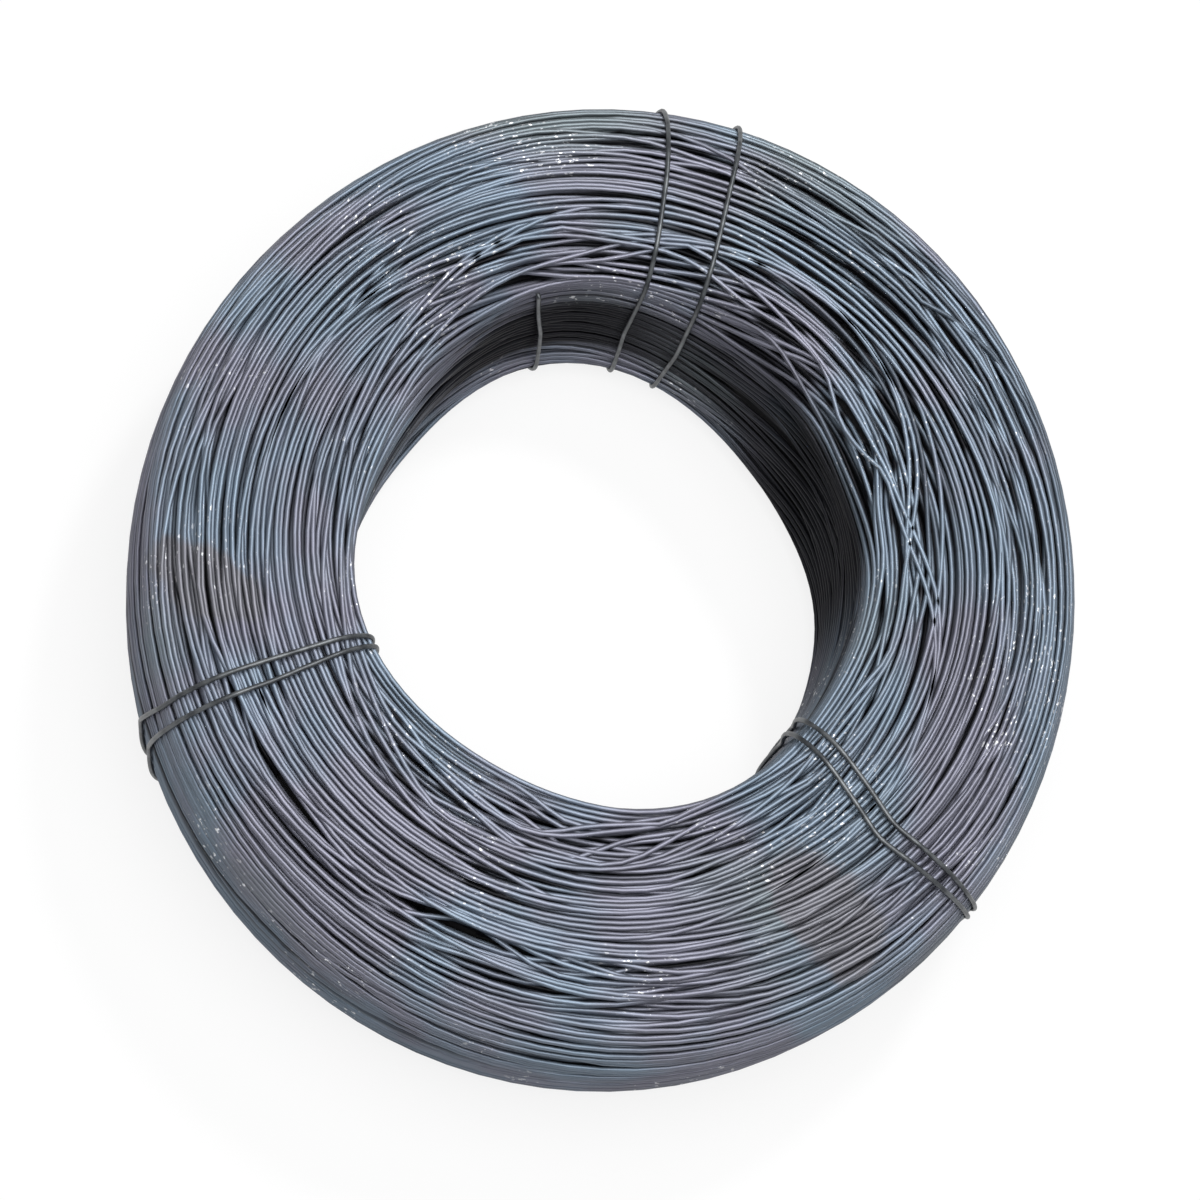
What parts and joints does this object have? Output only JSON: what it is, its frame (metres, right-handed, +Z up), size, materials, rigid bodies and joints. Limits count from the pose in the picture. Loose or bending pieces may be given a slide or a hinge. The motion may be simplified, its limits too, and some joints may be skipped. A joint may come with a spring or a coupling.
{
  "type": "coil of wire rod",
  "caption": "Thick ring-shaped coil of hot-rolled steel wire rod lying flat, its loose turns bound round the section by twisted tie wires, with an open bore for handling.",
  "frame": {"origin": "on the floor under the middle of the tied coil", "axes": "+Z up along the bore; +Y along the longer way across the slightly oval coil; the closely spaced pair of ties at the far side is at +Y"},
  "size_m": [1.0868, 1.1456, 0.3317],
  "materials": {
    "mill_scale": "hot-rolled steel with dark blue-grey mill scale, purple and greenish tints, brown-grey stains and a little rust",
    "tie_steel": "hot-rolled steel rod, dull dark grey"
  },
  "bodies": {
    "root": {"wire_coil": "mill_scale", "tie_top_a": "tie_steel", "tie_top_b": "tie_steel", "tie_left_a": "tie_steel", "tie_left_b": "tie_steel", "tie_right_a": "tie_steel", "tie_right_b": "tie_steel", "tie_inner": "tie_steel"}
  },
  "joints": []
}
